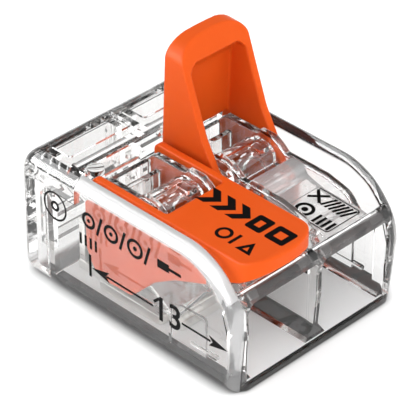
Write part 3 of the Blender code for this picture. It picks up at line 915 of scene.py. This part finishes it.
def lever_print(pole, x):
    """Three chevrons and two frames towards the tip, with a ring, a bar and a triangle beside them."""
    v = x + 0.85
    marks = []
    for u in (1.9, 3.25, 4.6):
        chevron = [(u, v - 0.85), (u + 0.75, v - 0.85), (u + 1.6, v), (u + 0.75, v + 0.85), (u, v + 0.85),
                   (u + 0.85, v)]
        marks.append(flat_mesh([chevron]))
    for low, high in ((6.35, 7.75), (8.1, 9.75)):
        bottom, top = v - 0.82, v + 0.82
        outer = rounded([(low, bottom, 0.2), (high, bottom, 0.2), (high, top, 0.2), (low, top, 0.2)])
        low, high, bottom, top = low + 0.45, high - 0.45, v - 0.36, v + 0.36
        inner = [(low, bottom), (high, bottom), (high, top), (low, top)]
        marks.append(flat_mesh([outer, inner]))
    v = x - 1.5
    marks.append(flat_mesh(ring(6.1, v, 0.62, 0.38)))
    marks.append(flat_mesh(stroke((7.1, v - 0.6), (7.1, v + 0.6), 0.24)))
    marks.append(flat_mesh([[(7.7, v - 0.65), (9.0, v - 0.65), (8.35, v + 0.6)],
                            [(8.12, v - 0.42), (8.58, v - 0.42), (8.35, v + 0.05)]]))
    place = Matrix(((0, 1, 0, 0), (-1, 0, 0, 0), (0, 0, 1, LEVER_TOP + INK / 2), (0, 0, 0, 1)))
    item = print_on(f"lever_print_{pole}", marks, place, f"lever_{pole}")
    if pole == "right":
        item.data.transform(turn_about(PIVOT, OPEN_DEG))


# ---------------------------------------------------------------- stage


def make_floor():
    floor = block("studio_floor", (-400, -400, -5), (400, 400, -0.03))
    floor.data.materials.append(floor_material())


def make_world():
    """A white room, brighter in front, whose dark card at the back right shows in reflections only."""
    world = bpy.data.worlds.new("studio")
    world.use_nodes = True
    tree = world.node_tree
    place = tree.nodes.new("ShaderNodeTexCoord")
    ray = tree.nodes.new("ShaderNodeLightPath")

    def zone(direction, start, end):
        """How far the view looks along a direction, eased from 0 at start to 1 at end."""
        facing = tree.nodes.new("ShaderNodeVectorMath")
        facing.operation = "DOT_PRODUCT"
        facing.inputs[1].default_value = Vector(direction).normalized()
        tree.links.new(place.outputs["Generated"], facing.inputs[0])
        ease = tree.nodes.new("ShaderNodeMapRange")
        ease.interpolation_type = "SMOOTHSTEP"
        ease.inputs["From Min"].default_value = start
        ease.inputs["From Max"].default_value = end
        tree.links.new(facing.outputs["Value"], ease.inputs["Value"])
        return ease.outputs["Result"]

    def combine(operation, first, second, third=None):
        step = tree.nodes.new("ShaderNodeMath")
        step.operation = operation
        for socket, value in zip(step.inputs, (first, second, third)):
            if isinstance(value, float):
                socket.default_value = value
            elif value is not None:
                tree.links.new(value, socket)
        return step.outputs["Value"]

    card = combine("MULTIPLY", zone(CARD_AIM, 0.72, 0.92), ray.outputs["Is Glossy Ray"])
    level = combine("MULTIPLY_ADD", zone(FRONT_AIM, 0.2, 0.9), FRONT_GAIN, WORLD_LEVEL)
    level = combine("MULTIPLY", level, combine("MULTIPLY_ADD", card, -CARD_SHADE, 1.0))
    tree.links.new(level, tree.nodes["Background"].inputs["Strength"])
    tree.nodes["Background"].inputs["Color"].default_value = (1.0, 1.0, 1.0, 1.0)
    bpy.context.scene.world = world


def area_light(name, direction, distance, along, size, radiance, glossy_only=False):
    """A rectangular soft box that faces the object, with its long side along one direction."""
    data = bpy.data.lights.new(name, "AREA")
    data.shape = "RECTANGLE"
    data.size, data.size_y = size
    data.energy = radiance * math.pi * size[0] * size[1]
    item = bpy.data.objects.new(name, data)
    outward = Vector(direction).normalized()
    side = (Vector(along) - outward * outward.dot(Vector(along))).normalized()
    turn = Matrix((side, outward.cross(side), outward)).transposed()
    item.matrix_world = Matrix.Translation(outward * distance) @ turn.to_4x4()
    if glossy_only:
        item.visible_diffuse = False
        item.visible_transmission = False
    bpy.context.scene.collection.objects.link(item)


def make_camera():
    """A long lens at the front left, above the connector."""
    azimuth, elevation, distance = math.radians(-44.957), math.radians(35.088), 0.168703
    target = Vector((-0.338, 0.0, 6.443)) * MM
    back = Vector((math.sin(azimuth) * math.cos(elevation), -math.cos(azimuth) * math.cos(elevation),
                   math.sin(elevation)))
    data = bpy.data.cameras.new("camera")
    data.lens = 215.1
    data.sensor_width = 36.0
    data.clip_start = 0.001
    data.clip_end = 10.0
    camera = bpy.data.objects.new("camera", data)
    camera.location = target + back * distance
    camera.rotation_euler = back.to_track_quat("Z", "Y").to_euler()
    bpy.context.scene.collection.objects.link(camera)
    bpy.context.scene.camera = camera


def make_stage():
    make_floor()
    make_world()
    area_light("rim_left", (-0.75, 0.2, 0.5), 0.5, (0, 1, 0), (1.1, 0.6), 6.0, True)
    area_light("rim_left_low", (-0.94, 0.22, 0.34), 0.48, (0, 1, 0), (1.1, 0.3), 10.0, True)
    area_light("key_front_left", (-0.5, -0.6, 0.7), 0.6, (1, 0, 0), (0.4, 0.4), 1.0)
    make_camera()
    scene = bpy.context.scene
    scene.view_settings.view_transform = "Standard"
    scene.cycles.max_bounces = 24
    scene.cycles.transmission_bounces = 24
    scene.cycles.glossy_bounces = 8
    scene.cycles.transparent_max_bounces = 16


make_stage()
make_housing()
make_cover()
make_busbar()
for name, middle in POLES.items():
    make_spring(name, middle)
    make_lever(name, middle)
    lever_print(name, middle)
side_print()
panel_print()
